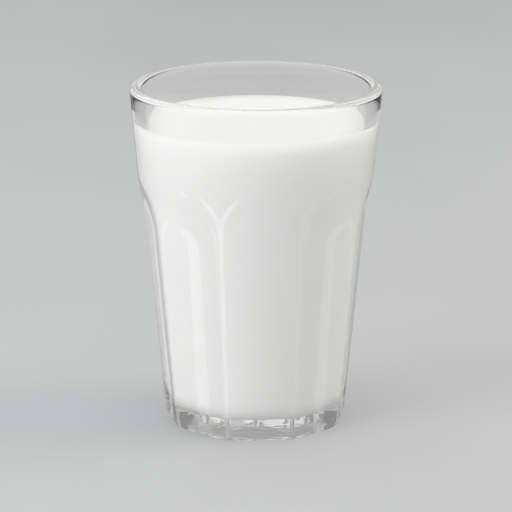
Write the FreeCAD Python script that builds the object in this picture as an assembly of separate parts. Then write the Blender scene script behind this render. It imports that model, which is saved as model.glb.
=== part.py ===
"""A glass of milk: a fluted pressed-glass tumbler and the milk that fills it.

Millimetres. +Z is up. The origin is the centre of the foot, on the table.
One flute faces -Y. The tumbler and the milk are two solids that meet face to face.
"""

import FreeCAD, Part
import math
import os

from FreeCAD import Vector

# Overall sizes of the tumbler
height = 114.5           # table to the top of the lip
rim_radius = 41.7        # outside of the lip
foot_radius = 30.65      # over the ridges, at the table

# Smooth band under the lip, and how far the ridges stand inside its cone
band_height = 31.5       # top of the lip to about the top of a flute's arch
shoulder_recess = 0.15   # cone to ridge where the flutes begin to run out
foot_recess = 1.3        # cone to ridge at the table

# Flutes
flute_count = 9
foot_flute_depth = 1.65  # ridge top to the middle of a flute, at the table
flute_depth = 2.45       # the same where the flutes begin to run out
ridge_round = 3.0        # radius of the rounded ridge
runout_radius = 47.0     # a flute curves out of the glass on this radius
foot_edge = 0.5          # the flutes' lower edge
heel_round = 2.1         # round turned on the ridges' lower ends

# Wall, floor and foot
lip_thickness = 4.0      # the lip is a full round
flute_wall = 3.6         # glass behind the middle of a flute, at floor level
floor_thickness = 6.5
floor_corner = 5.0       # inside corner between floor and wall
punt_radius = 22.0       # shallow dome under the foot
punt_depth = 1.0

# Milk
headroom = 12.5          # top of the lip down to the milk
meniscus_height = 1.0    # how far the milk climbs the wall
meniscus_width = 2.4

# Construction
runout_sections = 7
cutting_margin = 1.0     # tools reach this far past what they cut

lip_radius = lip_thickness / 2
lip_centre = Vector(rim_radius - lip_radius, 0, height - lip_radius)
half_pitch = math.pi / flute_count
cone_foot_radius = foot_radius + foot_recess
cone_slope = (rim_radius - cone_foot_radius) / lip_centre.z
milk_level = height - headroom


def cone_radius(z):
    """Outside radius of the smooth band, carried on down to the table."""
    return cone_foot_radius + cone_slope * z


# How far up its circle a flute goes before its middle has left the glass
arch_top = height - band_height
runout_rise = math.sqrt(runout_radius ** 2 - (runout_radius - flute_depth - shoulder_recess) ** 2)
runout_start = arch_top - runout_rise
ridge_slope = (cone_radius(runout_start) - shoulder_recess - foot_radius) / runout_start


def ridge_radius(z):
    return foot_radius + ridge_slope * z


def flute_radius(z):
    """Distance from the axis to the middle of a flute, before it runs out."""
    share = min(z / runout_start, 1)
    return ridge_radius(z) - foot_flute_depth - (flute_depth - foot_flute_depth) * share


def runout(z):
    """How far a flute's surface has curved outward at this height."""
    climb = max(z - runout_start, 0)
    return runout_radius - math.sqrt(runout_radius ** 2 - climb ** 2)


floor_radius = flute_radius(floor_thickness) - flute_wall
cavity_slope = (rim_radius - lip_thickness - floor_radius) / (lip_centre.z - floor_thickness)
cavity_lean = math.atan(cavity_slope)
cone_lean = math.atan(cone_slope)


def cavity_radius(z):
    """Inside radius of the straight wall, carried on down to the floor."""
    return floor_radius + cavity_slope * (z - floor_thickness)


def polar(radius, angle, z=0.0):
    return Vector(radius * math.cos(angle), radius * math.sin(angle), z)


def arc(start, middle, end):
    return Part.Arc(start, middle, end).toShape()


def line(start, end):
    return Part.LineSegment(start, end).toShape()


def revolve(edges):
    """Turn a closed profile in the XZ plane about the Z axis."""
    face = Part.Face(Part.Wire(edges))
    return face.revolve(Vector(0, 0, 0), Vector(0, 0, 1), 360)


def fluted_section(z):
    """One cross-section: hollow flutes joined by round ridges, all arcs tangent.

    The hollow's radius follows from the flute's depth and the ridge's round, because
    the two circles touch: their centres are the sum of their radii apart.
    """
    outer = ridge_radius(z) + runout(z)
    middle = flute_radius(z) + runout(z)
    ridge_centre = outer - ridge_round
    across = ridge_centre * math.cos(half_pitch)
    hollow = ridge_centre ** 2 + middle ** 2 - 2 * across * middle - ridge_round ** 2
    hollow /= 2 * (ridge_round + across - middle)
    hollow_centre = middle + hollow
    share = hollow / (hollow + ridge_round)
    edges = []
    for count in range(flute_count):
        facing = -math.pi / 2 + 2 * half_pitch * count
        centre = polar(hollow_centre, facing, z)
        before = polar(ridge_centre, facing - half_pitch, z)
        after = polar(ridge_centre, facing + half_pitch, z)
        beyond = polar(hollow_centre, facing + 2 * half_pitch, z)
        enter = centre + (before - centre) * share
        leave = centre + (after - centre) * share
        onward = beyond + (after - beyond) * share
        edges.append(arc(enter, polar(middle, facing, z), leave))
        edges.append(arc(leave, polar(outer, facing + half_pitch, z), onward))
    return Part.Wire(edges)


def fluted_column():
    """The flutes' surface as one tall solid, which flares out past the band's cone."""
    reach = flute_depth + shoulder_recess + cutting_margin
    climb = math.sqrt(runout_radius ** 2 - (runout_radius - reach) ** 2)
    levels = [runout_start + climb * step / runout_sections for step in range(runout_sections + 1)]
    flare = Part.makeLoft([fluted_section(z) for z in levels], True, False)
    body = Part.makeLoft([fluted_section(0), fluted_section(runout_start)], True, True)
    lowest = [edge for edge in body.Edges if edge.BoundBox.ZMax < foot_edge / 2]
    body = body.makeFillet(foot_edge, lowest)
    return body.fuse(flare), levels[-1]


def cone_blank():
    """Plain outside of the glass: a cone with a turned heel and a full round lip."""
    top = lip_centre + Vector(0, 0, lip_radius)
    outer_touch = lip_centre + Vector(math.cos(cone_lean), 0, -math.sin(cone_lean)) * lip_radius
    heel_end = Vector(ridge_radius(heel_round), 0, heel_round)
    heel_start = Vector(heel_end.x - heel_round, 0, 0)
    diagonal = heel_round * math.sqrt(0.5)
    heel_middle = Vector(heel_start.x + diagonal, 0, heel_round - diagonal)
    cone_foot = Vector(cone_radius(heel_end.z), 0, heel_end.z)
    quarter = (math.pi / 2 - cone_lean) / 2
    between = lip_centre + Vector(math.cos(quarter), 0, math.sin(quarter)) * lip_radius
    axis_top = Vector(0, 0, height)
    axis_foot = Vector(0, 0, 0)
    edges = [line(axis_foot, heel_start), arc(heel_start, heel_middle, heel_end)]
    edges += [line(heel_end, cone_foot), line(cone_foot, outer_touch)]
    edges += [arc(outer_touch, between, top), line(top, axis_top), line(axis_top, axis_foot)]
    return revolve(edges)


def floor_and_wall(top_z):
    """Inside profile: floor, corner arc and straight wall, up to a height."""
    turn = math.pi / 2 - cavity_lean
    centre_z = floor_thickness + floor_corner
    centre_x = cavity_radius(centre_z) - floor_corner / math.cos(cavity_lean)
    centre = Vector(centre_x, 0, centre_z)
    corner_start = centre + Vector(0, 0, -floor_corner)
    corner_middle = centre + Vector(math.sin(turn / 2), 0, -math.cos(turn / 2)) * floor_corner
    corner_end = centre + Vector(math.sin(turn), 0, -math.cos(turn)) * floor_corner
    wall_top = Vector(cavity_radius(top_z), 0, top_z)
    middle = Vector(0, 0, floor_thickness)
    edges = [line(middle, corner_start), arc(corner_start, corner_middle, corner_end)]
    edges.append(line(corner_end, wall_top))
    return edges, middle, wall_top


def cavity():
    """What the plunger leaves: the inside, opening out over the lip's inner round."""
    inner_touch_z = lip_centre.z + lip_radius * math.sin(cavity_lean)
    inner_touch_x = lip_centre.x - lip_radius * math.cos(cavity_lean)
    edges, middle, wall_top = floor_and_wall(lip_centre.z)
    touch = Vector(inner_touch_x, 0, inner_touch_z)
    bend = (math.pi / 2 - cavity_lean) / 2
    between = lip_centre + Vector(-math.sin(bend), 0, math.cos(bend)) * lip_radius
    top = lip_centre + Vector(0, 0, lip_radius)
    over = top + Vector(0, 0, cutting_margin)
    axis_top = Vector(0, 0, over.z)
    edges[-1] = line(edges[-1].Vertexes[0].Point, touch)
    edges += [arc(touch, between, top), line(top, over), line(over, axis_top)]
    edges.append(line(axis_top, middle))
    return revolve(edges)


def punt():
    """Shallow dome pressed up into the foot."""
    dome = (punt_radius ** 2 + punt_depth ** 2) / (2 * punt_depth)
    rim = Vector(punt_radius, 0, 0)
    half = math.asin(punt_radius / dome) / 2
    between = Vector(dome * math.sin(half), 0, punt_depth - dome * (1 - math.cos(half)))
    crown = Vector(0, 0, punt_depth)
    below = Vector(punt_radius, 0, -cutting_margin)
    axis_foot = Vector(0, 0, -cutting_margin)
    edges = [arc(crown, between, rim), line(rim, below), line(below, axis_foot)]
    edges.append(line(axis_foot, crown))
    return revolve(edges)


def tumbler():
    column, column_top = fluted_column()
    blank = cone_blank()
    upper = Part.makeCylinder(2 * rim_radius, height, Vector(0, 0, column_top))
    outside = blank.common(column.fuse(upper))
    return outside.cut(cavity()).cut(punt()).removeSplitter()


def milk():
    wall_z = milk_level + meniscus_height
    edges, middle, wall_top = floor_and_wall(wall_z)
    curve = (meniscus_width ** 2 + meniscus_height ** 2) / (2 * meniscus_height)
    flat_edge = wall_top + Vector(-meniscus_width, 0, -meniscus_height)
    half = math.asin(meniscus_width / curve) / 2
    between = flat_edge + Vector(curve * math.sin(half), 0, curve * (1 - math.cos(half)))
    axis_level = Vector(0, 0, milk_level)
    edges += [arc(wall_top, between, flat_edge), line(flat_edge, axis_level)]
    edges.append(line(axis_level, middle))
    return revolve(edges)


def save(name, shape):
    solids = shape.Solids
    box = shape.optimalBoundingBox(False, False)
    print(name, "solids", len(solids), "valid", shape.isValid(), "faces", len(shape.Faces))
    print("   volume cm3", round(shape.Volume / 1000, 2), "height", round(box.ZLength, 3))
    print("   width", round(box.XLength, 3), round(box.YLength, 3), "lowest", round(box.ZMin, 4))
    solids[0].exportStep(os.path.join("parts", name + ".step"))


os.makedirs("parts", exist_ok=True)
save("tumbler", tumbler())
save("milk", milk())
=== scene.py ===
# %% [markdown]
# # A glass of milk
#
# The object is a pressed-glass tumbler with nine upright flutes, a thick foot and a
# smooth band under a round lip. Milk fills it to a thumb's width below the lip.
#
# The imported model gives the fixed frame: how tall and wide the glass is and where the
# milk stops. Everything here is modelled around those sizes, in metres, with the
# foot's centre at the origin and one flute facing -Y.

# %% Load the frame
import math

import bpy
import numpy as np
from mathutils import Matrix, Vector, noise


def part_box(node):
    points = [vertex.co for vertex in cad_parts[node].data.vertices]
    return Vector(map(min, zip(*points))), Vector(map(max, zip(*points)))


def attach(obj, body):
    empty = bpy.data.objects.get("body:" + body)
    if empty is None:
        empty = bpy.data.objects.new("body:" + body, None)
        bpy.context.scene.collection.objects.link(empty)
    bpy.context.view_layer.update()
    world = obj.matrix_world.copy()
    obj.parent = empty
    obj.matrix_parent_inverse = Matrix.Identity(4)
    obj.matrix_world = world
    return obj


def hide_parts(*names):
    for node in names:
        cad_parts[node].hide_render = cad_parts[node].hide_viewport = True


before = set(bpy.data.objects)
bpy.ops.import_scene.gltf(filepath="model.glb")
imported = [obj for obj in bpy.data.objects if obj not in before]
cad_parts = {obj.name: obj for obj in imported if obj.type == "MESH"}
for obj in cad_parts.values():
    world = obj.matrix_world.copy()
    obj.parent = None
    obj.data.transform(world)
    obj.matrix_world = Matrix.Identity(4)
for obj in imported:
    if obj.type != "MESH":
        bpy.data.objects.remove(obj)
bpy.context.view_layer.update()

MM = 0.001
glass_low, glass_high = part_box("tumbler")
milk_low, milk_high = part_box("milk")
height = glass_high.z
rim_radius = 41.7 * MM
print("glass mm", round(glass_low.z / MM, 2), "to", round(height / MM, 2))
print("milk mm", round(milk_low.z / MM, 2), "to", round(milk_high.z / MM, 2))

# %% [markdown]
# ## The sizes of the pressing
#
# A pressed tumbler is made between a mould, which shapes the outside, and a plunger,
# which shapes the inside. The two are described apart, each by a few sizes. Outside
# there is a plain cone; the flutes are hollows cut into it that curve out of the
# glass at the top, which is what draws the row of arches. Named sizes come first and
# everything else follows from them, so one change moves all that hangs on it.

# %% Sizes of mould and plunger
foot_radius = 30.65 * MM
foot_recess = 1.3 * MM
shoulder_recess = 0.15 * MM
flute_count = 9
foot_flute_depth = 2.1 * MM
flute_depth = 2.9 * MM
ridge_round = 3.0 * MM
runout_radius = 40.4 * MM
band_height = 31.5 * MM
heel_round = 2.1 * MM
foot_edge = 0.5 * MM
arch_round = 1.5 * MM
heel_blend = 0.3 * MM
lip_radius = 2.0 * MM
floor_thickness = milk_low.z
floor_corner = 5.0 * MM
punt_radius = 22.0 * MM
punt_depth = 1.0 * MM
meniscus_height = 1.0 * MM
meniscus_width = 2.4 * MM
milk_level = milk_high.z - meniscus_height


# %% What follows from the sizes
lip_z = height - lip_radius
lip_x = rim_radius - lip_radius
half_pitch = math.pi / flute_count
cone_foot = foot_radius + foot_recess
cone_slope = (rim_radius - cone_foot) / lip_z
climb_out = flute_depth + shoulder_recess  # how far a flute has to curve out
runout_rise = math.sqrt(runout_radius ** 2 - (runout_radius - climb_out) ** 2)
runout_start = height - band_height - runout_rise
ridge_end = cone_foot + cone_slope * runout_start - shoulder_recess
ridge_slope = (ridge_end - foot_radius) / runout_start
print("flutes begin to run out at mm", round(runout_start / MM, 2))

# %% [markdown]
# ## The outside of the glass
#
# The outside is not round, so it can't be spun like a pot. Each point's distance
# from the axis is worked out from its height and its direction instead: the hollow
# of the flute, the round of the ridge, the curve with which the flute leaves the
# glass, and the cone of the band. The nearer of two surfaces wins, and a soft
# minimum rounds the edge between them, as the flame does when the pressed glass is
# fire-polished.


# %% Helpers for the outline
def soft_min(a, b, width):
    """The smaller of two values, with the crossing rounded over about this width."""
    near = np.maximum(width - np.abs(a - b), 0) / width
    return np.minimum(a, b) - near * near * width / 4


def ridge_radius(z):
    return foot_radius + ridge_slope * z


def flute_radius(z):
    share = np.minimum(z / runout_start, 1)
    return ridge_radius(z) - foot_flute_depth - (flute_depth - foot_flute_depth) * share


# %% Flutes and ridges around the glass
def fluted_radius(angle, z):
    """Hollows of a long radius joined by ridges of a short one, tangent to each other.

    The hollow is described by its curvature, one over its radius, because near the
    foot it is almost flat and its radius would be endless.
    """
    around = (angle + half_pitch) % (2 * half_pitch) - half_pitch
    outer = ridge_radius(z)
    middle = flute_radius(z)
    ridge_centre = outer - ridge_round
    across = ridge_centre * math.cos(half_pitch)
    gap = ridge_centre ** 2 + middle ** 2 - 2 * across * middle - ridge_round ** 2
    bend = 2 * (ridge_round + across - middle) / gap
    lean = 1 + middle * bend
    hidden = (lean * np.sin(around)) ** 2
    in_flute = middle * (1 + lean) / (lean * np.cos(around) + np.sqrt(np.maximum(1 - hidden, 0)))
    off_ridge = half_pitch - np.abs(around)
    sideways = (ridge_centre * np.sin(off_ridge)) ** 2
    on_ridge = ridge_centre * np.cos(off_ridge) + np.sqrt(
        np.maximum(ridge_round ** 2 - sideways, 0)
    )
    touch_x = across + ridge_round * (lean - bend * across) / (1 + ridge_round * bend)
    touch_y = ridge_centre * math.sin(half_pitch) / (1 + ridge_round * bend)
    touch = math.atan2(touch_y, touch_x)
    return np.where(np.abs(around) < touch, in_flute, on_ridge)


# %% The whole outside
def mould_radius(angle, z):
    """The whole outside below the lip: flutes, run-out, band, foot edge and heel."""
    climb = min(max(z - runout_start, 0), runout_radius)
    runout = runout_radius - math.sqrt(runout_radius ** 2 - climb ** 2)
    fluted = fluted_radius(angle, z) + runout
    edge_drop = max(foot_edge - z, 0)
    fluted = fluted - foot_edge + math.sqrt(foot_edge ** 2 - edge_drop ** 2)
    heel_drop = max(heel_round - z, 0)
    turned = ridge_radius(heel_round) - heel_round + math.sqrt(heel_round ** 2 - heel_drop ** 2)
    turned = turned + max(z - heel_round, 0)
    outside = soft_min(fluted, cone_foot + cone_slope * z, arch_round)
    return soft_min(outside, turned, heel_blend)


flute_and_ridge = np.array([0.0, half_pitch])
for level in (2, 35, 68, 78, 90):
    reach = mould_radius(flute_and_ridge, level * MM) / MM
    print("at", level, "mm: flute", round(reach[0], 2), "ridge", round(reach[1], 2))

# %% [markdown]
# ## The inside and the lip
#
# The plunger leaves a plain tapered hole with a rounded bottom corner. The lip is what
# is left between mould and plunger, melted to a full round so that it is kind to the
# mouth. The taper of the hole is not chosen here: it runs from where the milk touches
# the wall to the inner edge of the lip, so glass and milk keep fitting each other.

# %% Inside profile
cavity_slope = (rim_radius - 2 * lip_radius - milk_high.x) / (lip_z - milk_high.z)
floor_radius = milk_high.x - cavity_slope * (milk_high.z - floor_thickness)
cavity_lean = math.atan(cavity_slope)
cone_lean = math.atan(cone_slope)


def cavity_radius(z):
    return floor_radius + cavity_slope * (z - floor_thickness)


corner_z = floor_thickness + floor_corner
corner_x = cavity_radius(corner_z) - floor_corner / math.cos(cavity_lean)
print("inside floor radius mm", round(floor_radius / MM, 2))


def steps(start, end, count):
    """Evenly spaced values from start to end, both included."""
    return [start + (end - start) * k / (count - 1) for k in range(count)]


def corner_points(count, swell=0.0):
    """The round between floor and wall, from the floor outwards."""
    turn = math.pi / 2 - cavity_lean
    radius = floor_corner + swell
    return [
        (corner_x + radius * math.sin(a), corner_z - radius * math.cos(a))
        for a in steps(0, turn, count)
    ]


# %% [markdown]
# ## The tumbler's mesh
#
# The mesh is a stack of rings, from the middle of the foot, up the outside, over the
# lip and down the inside. The rings have more points at the ridges, which are tight
# curves, than in the flutes, which are nearly flat. Glass shows every facet, so the
# rings are close together wherever the outline bends.
#
# A pressed foot is never quite even underneath, because it is the last part to set.
# A tenth of a millimetre of unevenness is enough to break up the light that is seen
# through the thick foot, so the underside gets it as real shape. It only ever goes
# upwards, so the glass still stands on its ring.

# %% Directions of the ring's points
ridge_half = 2.4  # degrees each side of a ridge
flute_steps, ridge_steps = 24, 12


def ring_angles():
    """Directions around the axis, closer together on the ridges. Zero faces -Y."""
    pitch = 360.0 / flute_count
    one = steps(-pitch / 2 + ridge_half, pitch / 2 - ridge_half, flute_steps)
    one += steps(pitch / 2 - ridge_half, pitch / 2 + ridge_half, ridge_steps)[1:-1]
    turns = [pitch * k + a for k in range(flute_count) for a in one]
    return np.radians(np.array(turns))


angles = ring_angles()
print("points in a ring of the tumbler", len(angles))


# %% Mesh from rings
def ring_mesh(name, rings, angles):
    """A closed skin through rings of (radius, z), where the first and last are points."""
    count = len(angles)
    across, along = np.sin(angles), -np.cos(angles)
    points = [(0.0, 0.0, rings[0][1])]
    for radius, z in rings[1:-1]:
        reach = np.broadcast_to(radius, (count,))
        level = np.broadcast_to(z, (count,))
        points += zip((reach * across).tolist(), (reach * along).tolist(), level.tolist())
    points.append((0.0, 0.0, rings[-1][1]))
    last = len(points) - 1
    faces = [(0, 1 + (k + 1) % count, 1 + k) for k in range(count)]
    for row in range(len(rings) - 3):
        below = 1 + row * count
        above = below + count
        for k in range(count):
            ahead = (k + 1) % count
            faces.append((below + k, below + ahead, above + ahead, above + k))
    top = last - count
    faces += [(top + k, top + (k + 1) % count, last) for k in range(count)]
    mesh = bpy.data.meshes.new(name)
    mesh.from_pydata(points, [], faces)
    mesh.polygons.foreach_set("use_smooth", [True] * len(mesh.polygons))
    mesh.update()
    piece = bpy.data.objects.new(name, mesh)
    bpy.context.scene.collection.objects.link(piece)
    print(name, "faces", len(mesh.polygons), "points", len(mesh.vertices))
    return piece


# %% Unevenness
wave_edge = 3 * MM  # how soon the waves fade in and out
dome_wave, dome_wave_depth = 3.5 * MM, 0.12 * MM
ring_wave, ring_wave_depth = 4.5 * MM, 0.07 * MM


def waver(radius, z, size, depth):
    """Slow unevenness of a pressed surface: never less than nothing, never more than depth."""
    found = []
    for angle in angles:
        place = Vector((radius * math.sin(angle), -radius * math.cos(angle), z)) / size
        found.append(noise.noise(place) + 0.4 * noise.noise(place * 2.3))
    return np.clip(np.array(found) * 0.8 + 0.5, 0, 1) * depth


# %% Rings of the foot
def foot_rings():
    """From the dome's crown to the ring that stands on the table."""
    dome = (punt_radius ** 2 + punt_depth ** 2) / (2 * punt_depth)
    rings = [(0.0, punt_depth)]
    for radius in steps(0, punt_radius - 0.6 * MM, 34)[1:]:
        rise = punt_depth - dome + math.sqrt(dome ** 2 - radius ** 2)
        fade = min(1, radius / wave_edge) * min(1, (punt_radius - radius) / wave_edge)
        rings.append((radius, rise + fade * waver(radius, 0, dome_wave, dome_wave_depth)))
    rings += [(punt_radius, 0.01 * MM), (punt_radius + 0.5 * MM, 0.0)]
    for radius in steps(punt_radius + 1.1 * MM, foot_radius - 3.6 * MM, 7):
        rings.append((radius, waver(radius, 0, ring_wave, ring_wave_depth)))
    rings.append((foot_radius - 3.1 * MM, 0.0))
    return rings


# %% Rings of the outside, the lip and the inside
def outside_rings():
    """Heel, flutes, arches and band."""
    levels = [heel_round * (1 - math.cos(a)) for a in steps(0, math.pi / 2, 12)]
    levels += steps(heel_round, runout_start, 16)[1:]
    levels += steps(runout_start, height - band_height + 3 * MM, 34)[1:]
    levels += steps(levels[-1], lip_z - lip_radius * math.sin(cone_lean), 9)[1:]
    return [(mould_radius(angles, z), z) for z in levels]


def lip_rings(count):
    """The full round of the lip, from the outside over the top to the inside."""
    return [
        (lip_x + lip_radius * math.cos(a), lip_z + lip_radius * math.sin(a))
        for a in steps(-cone_lean, math.pi - cavity_lean, count)[1:-1]
    ]


def inside_rings():
    """Straight wall, round corner and floor, down to the middle."""
    top = lip_z + lip_radius * math.sin(cavity_lean)
    bottom = corner_points(9)
    rings = [(cavity_radius(z), z) for z in steps(top, bottom[-1][1], 26)]
    rings += [(x, z) for x, z in bottom[-2::-1]]
    rings += [(x, floor_thickness) for x in steps(corner_x, 0, 8)[1:-1]]
    return rings + [(0.0, floor_thickness)]


# %% The tumbler
all_rings = foot_rings() + outside_rings() + lip_rings(20) + inside_rings()
tumbler = ring_mesh("fluted_tumbler", all_rings, angles)

# %% [markdown]
# ## The milk
#
# The milk is a solid that fills the hole. If its side lay exactly on the inside of
# the glass, or just short of it, the renderer would see two surfaces at once or a
# thin skin of air, and air inside glass shines like a mirror. So the milk reaches a
# fifth of a millimetre into the wall, where nothing but glass is in front of it. At
# the top it climbs the wall in a small curve, the meniscus.

# %% Rings of the milk
bite = 0.2 * MM


def milk_rings():
    """Floor, wall, the meniscus and the flat top, in that order."""
    bottom = corner_points(9, bite)
    rings = [(0.0, floor_thickness - bite)]
    rings += [(x, floor_thickness - bite) for x in steps(0, corner_x, 6)[1:-1]]
    rings += bottom
    wall_z = milk_level + meniscus_height
    rings += [(cavity_radius(z) + bite, z) for z in steps(bottom[-1][1], wall_z, 24)[1:]]
    curve = (meniscus_width ** 2 + meniscus_height ** 2) / (2 * meniscus_height)
    flat_edge = cavity_radius(wall_z) - meniscus_width
    for a in steps(math.asin(meniscus_width / curve), 0, 9):
        rings.append((flat_edge + curve * math.sin(a), milk_level + curve * (1 - math.cos(a))))
    rings += [(x, milk_level) for x in steps(flat_edge, 0, 9)[1:-1]]
    return rings + [(0.0, milk_level)]


round_angles = np.radians(np.arange(0, 360, 2.0))
milk = ring_mesh("milk_fill", milk_rings(), round_angles)

# %% [markdown]
# ## Finishes
#
# Clear soda-lime glass bends light by 1.52. It is clean and hard, so it is almost
# perfectly smooth, but a pressed surface has a faint orange-peel ripple that breaks
# up the edges of reflections. Light that has to pass through to the milk would be
# lost in noise if it were bent on its way, so for shadows and for light that the milk
# sends back, the glass simply lets almost all of it through.


# %% Helpers for finishes
def new_material(name):
    material = bpy.data.materials.new(name)
    material.use_nodes = True
    tree = material.node_tree
    return material, tree, tree.nodes["Principled BSDF"], tree.nodes["Material Output"]


def drift(tree, scale, detail):
    """Slow cloudy variation through the piece, from nothing to one."""
    place = tree.nodes.new("ShaderNodeTexCoord")
    cloud = tree.nodes.new("ShaderNodeTexNoise")
    cloud.inputs["Scale"].default_value = scale
    cloud.inputs["Detail"].default_value = detail
    tree.links.new(place.outputs["Object"], cloud.inputs["Vector"])
    return cloud


def tint(tree, cloud, shader, dark, light):
    """Let the base colour drift between two near colours."""
    ramp = tree.nodes.new("ShaderNodeValToRGB")
    ramp.color_ramp.elements[0].position = 0.3
    ramp.color_ramp.elements[0].color = (*dark, 1)
    ramp.color_ramp.elements[1].position = 0.7
    ramp.color_ramp.elements[1].color = (*light, 1)
    tree.links.new(cloud.outputs["Fac"], ramp.inputs["Fac"])
    tree.links.new(ramp.outputs["Color"], shader.inputs["Base Color"])


# %% Glass
def clear_glass():
    material, tree, shader, output = new_material("clear_pressed_glass")
    shader.inputs["Base Color"].default_value = (0.995, 0.995, 0.99, 1)
    shader.inputs["Transmission Weight"].default_value = 1.0
    shader.inputs["IOR"].default_value = 1.52
    shader.inputs["Roughness"].default_value = 0.0
    ripple = drift(tree, 140.0, 2.0)
    bump = tree.nodes.new("ShaderNodeBump")
    bump.inputs["Strength"].default_value = 0.02
    bump.inputs["Distance"].default_value = 0.001
    tree.links.new(ripple.outputs["Fac"], bump.inputs["Height"])
    tree.links.new(bump.outputs["Normal"], shader.inputs["Normal"])
    rays = tree.nodes.new("ShaderNodeLightPath")
    either = tree.nodes.new("ShaderNodeMath")
    either.operation = "MAXIMUM"
    through = tree.nodes.new("ShaderNodeBsdfTransparent")
    through.inputs["Color"].default_value = (0.95, 0.95, 0.945, 1)
    mix = tree.nodes.new("ShaderNodeMixShader")
    tree.links.new(rays.outputs["Is Shadow Ray"], either.inputs[0])
    tree.links.new(rays.outputs["Is Diffuse Ray"], either.inputs[1])
    tree.links.new(either.outputs["Value"], mix.inputs["Fac"])
    tree.links.new(shader.outputs["BSDF"], mix.inputs[1])
    tree.links.new(through.outputs["BSDF"], mix.inputs[2])
    tree.links.new(mix.outputs["Shader"], output.inputs["Surface"])
    print("glass nodes", len(tree.nodes))
    return material


# %% [markdown]
# ## The milk's finish
#
# Milk is white because fat and protein drops scatter light many times within half a
# millimetre. That is what subsurface scattering stands for. The cream is never mixed in
# quite evenly, so the white drifts by a shade over a finger's width. The top is open to
# the air and shines a little more than the side, which lies against the glass.


# %% Milk
def white_milk():
    material, tree, shader, _ = new_material("white_milk")
    cloud = drift(tree, 55.0, 3.0)
    tint(tree, cloud, shader, (0.922, 0.92, 0.908), (0.938, 0.936, 0.928))
    shader.inputs["Subsurface Weight"].default_value = 1.0
    shader.inputs["Subsurface Radius"].default_value = (1.0, 0.95, 0.85)
    shader.inputs["Subsurface Scale"].default_value = 0.009
    facing = tree.nodes.new("ShaderNodeNewGeometry")
    upward = tree.nodes.new("ShaderNodeSeparateXYZ")
    wetness = tree.nodes.new("ShaderNodeMapRange")
    wetness.inputs["From Min"].default_value = 0.8
    wetness.inputs["From Max"].default_value = 1.0
    wetness.inputs["To Min"].default_value = 0.38
    wetness.inputs["To Max"].default_value = 0.28
    tree.links.new(facing.outputs["Normal"], upward.inputs["Vector"])
    tree.links.new(upward.outputs["Z"], wetness.inputs["Value"])
    tree.links.new(wetness.outputs["Result"], shader.inputs["Roughness"])
    shader.inputs["IOR"].default_value = 1.35
    shader.inputs["Specular IOR Level"].default_value = 0.25
    print("milk nodes", len(tree.nodes))
    return material


# %% Put the finishes on
def dress(piece, material, node):
    """Give a piece its material and say which part of the frame it stands for."""
    piece.data.materials.append(material)
    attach(piece, "root")
    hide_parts(node)
    print(piece.name, "replaces", node, "with", material.name)


dress(tumbler, clear_glass(), "tumbler")
dress(milk, white_milk(), "milk")

# %% [markdown]
# ## The floor
#
# The glass stands on a plain pale floor. The floor is left out of reflections: the
# wall of the glass leans outwards and is seen from above, so it mirrors what lies
# below the floor line, and the floor would fill the whole glass with one even grey.

# %% Floor
floor_half = 3.0
corners = [(-1, -1), (1, -1), (1, 1), (-1, 1)]
floor_mesh = bpy.data.meshes.new("studio_floor")
floor_mesh.from_pydata([(x * floor_half, y * floor_half, 0) for x, y in corners], [], [(0, 1, 2, 3)])
floor = bpy.data.objects.new("studio_floor", floor_mesh)
bpy.context.scene.collection.objects.link(floor)

floor_material, floor_tree, floor_shader, _ = new_material("pale_floor")
paper = drift(floor_tree, 9.0, 4.0)
tint(floor_tree, paper, floor_shader, (0.54, 0.55, 0.56), (0.56, 0.57, 0.58))
grain = floor_tree.nodes.new("ShaderNodeMapRange")
grain.inputs["To Min"].default_value = 0.5
grain.inputs["To Max"].default_value = 0.7
floor_tree.links.new(paper.outputs["Fac"], grain.inputs["Value"])
floor_tree.links.new(grain.outputs["Result"], floor_shader.inputs["Roughness"])
floor_mesh.materials.append(floor_material)
floor.visible_glossy = False
print("floor is", 2 * floor_half, "m wide")

# %% [markdown]
# ## The lamps
#
# A large lamp on the left makes the left of the milk brighter than the right, where a
# weaker and slightly warmer one takes over, and a third opens up the top. Lamps are
# placed by their direction from the glass, counted from the camera. The camera stands
# a little to one side of -Y, so that no flute is seen quite square on, and the lamps
# turn with it. The two side lamps are hidden from the glass itself: a square lamp
# mirrored in a round wall looks like a hard-edged window.

# %% Directions and lamps
view_turn = -2.5  # degrees from -Y to the side the camera stands on, seen from the glass


def toward(azimuth, elevation):
    """Direction from the glass. Azimuth 0 is the camera, 90 is to the camera's right."""
    turn, rise = math.radians(azimuth + view_turn), math.radians(elevation)
    level = math.cos(rise)
    return Vector((math.sin(turn) * level, -math.cos(turn) * level, math.sin(rise)))


def softbox(name, azimuth, elevation, distance, width, tall, power, colour=(1, 1, 1)):
    """A rectangular lamp that faces the glass."""
    lamp = bpy.data.lights.new(name, "AREA")
    lamp.shape = "RECTANGLE"
    lamp.size = width
    lamp.size_y = tall
    lamp.energy = power
    lamp.color = colour
    aim = Vector((0, 0, height / 2))
    holder = bpy.data.objects.new(name, lamp)
    holder.location = aim + toward(azimuth, elevation) * distance
    holder.rotation_euler = toward(azimuth, elevation).to_track_quat("Z", "Y").to_euler()
    bpy.context.scene.collection.objects.link(holder)
    holder.visible_camera = False
    return holder


def hide_in_glass(lamp):
    """The lamp lights the scene, but isn't seen mirrored in the glass or through it."""
    lamp.visible_glossy = False
    lamp.visible_transmission = False


# %% The lamps that light the milk
warm = (1.0, 0.97, 0.82)
key_left = softbox("key_left", -58, 18, 1.0, 0.6, 0.7, 4.0)
high_right = softbox("high_right", 90, 50, 1.0, 0.5, 0.5, 2.1, warm)
hide_in_glass(key_left)
hide_in_glass(high_right)
softbox("top", 180, 80, 1.0, 0.8, 0.8, 1.4)
print("lamps for the milk", len(bpy.data.lights))

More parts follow.
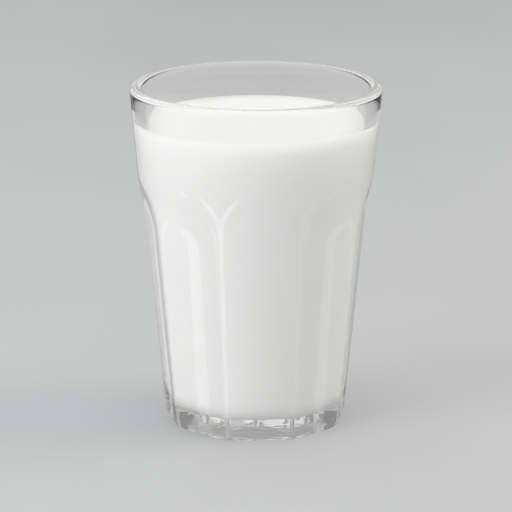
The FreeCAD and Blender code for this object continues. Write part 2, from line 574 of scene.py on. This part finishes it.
# %% [markdown]
# ## The streaks in the glass
#
# Glass shows little of its own: what is seen in it is the room. Long upright windows
# or lamps, bent by the flutes and ridges, draw the streaks by which fluted glass is
# known. Here upright strips, which light nothing, hang where the flutes and ridges
# look. Some hang below the floor line, because that is where a wall that leans
# outwards looks.

# %% Strips
strips = (
    # name, degrees from the camera, low and high end, width in metres, brightness
    ("flute_left", -78.5, -0.54, -0.335, 0.07, 2.8),
    ("flute_right", 86.0, -0.54, -0.335, 0.06, 2.0),
    ("panel_left", -38, -0.9, -0.365, 0.5, 5.0),
    ("panel_right", 55, -0.58, -0.36, 0.3, 1.6),
    ("edge_left", -157, -0.9, 0.3, 0.07, 0.9),
    ("back_left", -170, 0.0, 0.5, 0.1, 1.1),
    ("back", 180, 0.0, 0.5, 0.7, 0.4),
    ("corner_left", 136, 0.0, 0.4, 0.09, 0.9),
    ("corner_right", -137, 0.0, 0.4, 0.09, 0.9),
    ("edge_right", 166, -0.9, 0.3, 0.06, 0.9),
    ("back_right", 170, 0.0, 0.5, 0.1, 0.5),
)
layers = (("wide", 1.5), ("middle", 1.0), ("narrow", 0.5))


def streak(name, azimuth, low, high, width, brightness):
    """An upright strip that is only seen mirrored in the glass and lights nothing.

    Three strips of falling width one behind the other give it soft sides.
    """
    for layer, share in layers:
        power = brightness / len(layers) * math.pi * width * share * (high - low)
        holder = softbox(name + "_" + layer, azimuth, 0, 1.0, width * share, high - low, power)
        holder.location.z = (high + low) / 2
        holder.visible_diffuse = False


for strip in strips:
    streak(*strip)
print("strips", len(strips), "of", len(layers), "layers each")

# %% [markdown]
# ## Light from the foot
#
# Real glass gathers light at its foot and throws it up at the milk. Following such
# light through the glass would take a great many samples, so a small upward lamp
# inside the foot stands in for it.

# %% Foot light
foot_light_size = 0.046
foot_light = softbox("foot_light", 0, 0, 0, foot_light_size, foot_light_size, 0.0011)
foot_light.data.shape = "DISK"
foot_light.location = (0, 0, punt_depth + 0.5 * MM)
foot_light.rotation_euler = (math.pi, 0, 0)
hide_in_glass(foot_light)
print("foot light at mm", round(foot_light.location.z / MM, 2))

# %% [markdown]
# ## The room
#
# The room is evenly bright, which gives soft shadows and white milk. Mirrored in the
# glass the same brightness would lie over the milk as a veil and hide the streaks, so
# reflections see a darker room.

# %% World
room_brightness = 0.742
mirrored_brightness = 0.25
world = bpy.data.worlds.new("studio")
world.use_nodes = True
sky = world.node_tree
room = sky.nodes["Background"]
room.inputs["Color"].default_value = (1.0, 1.0, 1.0, 1)
room.inputs["Strength"].default_value = room_brightness
mirrored = sky.nodes.new("ShaderNodeBackground")
mirrored.inputs["Color"].default_value = (1.0, 1.0, 1.0, 1)
mirrored.inputs["Strength"].default_value = mirrored_brightness
sky_rays = sky.nodes.new("ShaderNodeLightPath")
sky_mix = sky.nodes.new("ShaderNodeMixShader")
sky.links.new(sky_rays.outputs["Is Glossy Ray"], sky_mix.inputs["Fac"])
sky.links.new(room.outputs["Background"], sky_mix.inputs[1])
sky.links.new(mirrored.outputs["Background"], sky_mix.inputs[2])
sky.links.new(sky_mix.outputs["Shader"], sky.nodes["World Output"].inputs["Surface"])
bpy.context.scene.world = world
bpy.context.scene.view_settings.view_transform = "Standard"
print("room", room_brightness, "mirrored", mirrored_brightness)

# %% [markdown]
# ## The camera
#
# A product picture is taken from some way off with a long lens, so that the glass
# keeps its true taper. The camera stands almost a metre away and looks down on it.
# Nothing is shifted: the camera simply aims a little below the middle of the glass.

# %% Camera
camera_distance = 0.99
camera_height = 0.322
view_point = toward(0, 0) * camera_distance + Vector((0, 0, camera_height))
aim = Vector((0, 0, height / 2 - 1.5 * MM))
camera_data = bpy.data.cameras.new("camera")
camera_data.lens = 215
camera = bpy.data.objects.new("camera", camera_data)
camera.location = view_point
camera.rotation_euler = (view_point - aim).to_track_quat("Z", "Y").to_euler()
bpy.context.scene.collection.objects.link(camera)
bpy.context.scene.camera = camera
look_down = math.degrees(math.atan2(view_point.z - aim.z, camera_distance))
print("camera looks down by degrees", round(look_down, 1))
